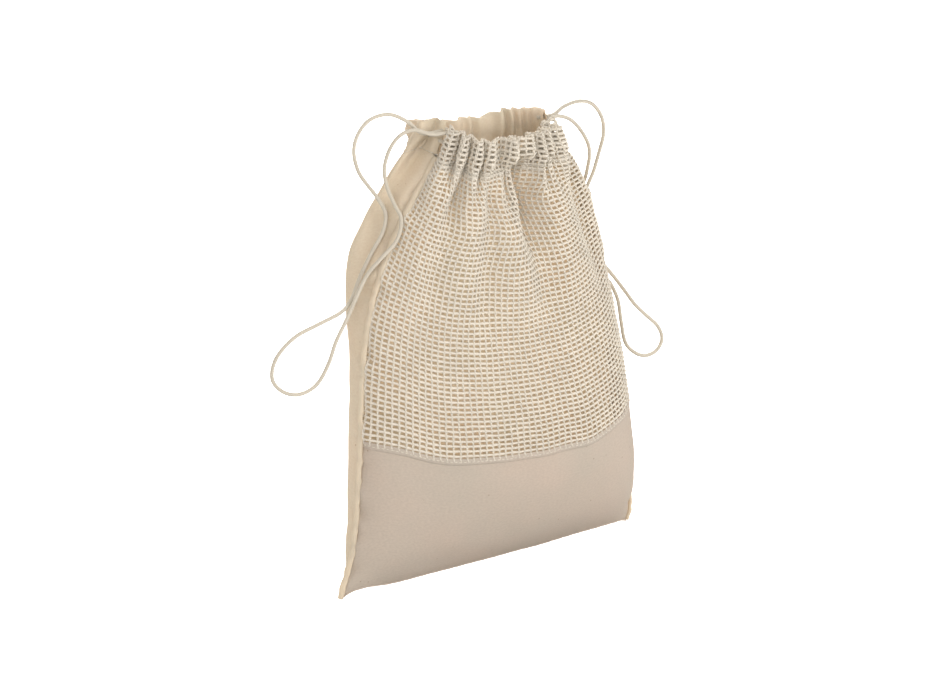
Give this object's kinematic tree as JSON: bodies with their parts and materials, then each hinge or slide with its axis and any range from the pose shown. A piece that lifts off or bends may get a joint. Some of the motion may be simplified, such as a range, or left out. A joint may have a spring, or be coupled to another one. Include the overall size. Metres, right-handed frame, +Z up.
{
  "type": "mesh produce bag",
  "caption": "Drawstring bag with an open-net front, calico back and lower panel, gathered neck casings and a looped cord at each side.",
  "frame": {"origin": "on the table, under the middle of the filled bag without its free cord loops", "axes": "+Z up, +X along the bottom seam to the right as seen from the front, -Y towards the net front"},
  "size_m": [0.3979, 0.1129, 0.3835],
  "materials": {
    "calico": "plain-weave unbleached cotton, matte",
    "net": "open cotton net, matte",
    "thread": "cotton sewing thread, matte",
    "cord": "round cotton cord, matte"
  },
  "bodies": {
    "bag_back": {"back_panel": "calico", "back_casing": "calico", "back_casing_stitch": "thread", "bottom_seam": "calico", "left_side_seam": "calico", "right_side_seam": "calico", "left_bartack": "thread", "right_bartack": "thread", "left_cord_back_run": "cord", "left_cord_bight": "cord", "left_cord_splice": "thread", "right_cord_back_run": "cord", "right_cord_bight": "cord", "right_cord_splice": "thread"},
    "bag_front": {"front_mesh_panel": "net", "front_lower_panel": "calico", "mesh_join_seam": "calico", "front_casing": "net", "front_casing_stitch": "thread", "left_cord_front_run": "cord", "right_cord_front_run": "cord"},
    "left_cord": {"left_cord_legs": "cord"},
    "left_loop": {"left_cord_loop": "cord"},
    "right_cord": {"right_cord_legs": "cord"},
    "right_loop": {"right_cord_loop": "cord"}
  },
  "joints": [
    {"name": "bag_flatten", "type": "slide", "parent": "bag_back", "child": "bag_front", "axis": [0, 1, 0], "range_m": [0, 0.034], "deforming": ["back_panel", "back_casing", "back_casing_stitch", "bottom_seam", "left_side_seam", "right_side_seam", "left_bartack", "right_bartack", "left_cord_back_run", "right_cord_back_run", "left_cord_bight", "right_cord_bight", "left_cord_splice", "right_cord_splice"]},
    {"name": "left_cord_draw", "type": "slide", "parent": "bag_front", "child": "left_cord", "axis": [-1, 0, 0], "range_m": [0, 0.006]},
    {"name": "left_loop_swing", "type": "hinge", "parent": "left_cord", "child": "left_loop", "pos_m": [-0.05, 0.009, 0.362], "axis": [0, 1, 0], "range_deg": [0, 40]},
    {"name": "right_cord_draw", "type": "slide", "parent": "bag_front", "child": "right_cord", "axis": [1, 0, 0], "range_m": [0, 0.006]},
    {"name": "right_loop_swing", "type": "hinge", "parent": "right_cord", "child": "right_loop", "pos_m": [0.07, 0.009, 0.358], "axis": [0, -1, 0], "range_deg": [0, 40]}
  ]
}
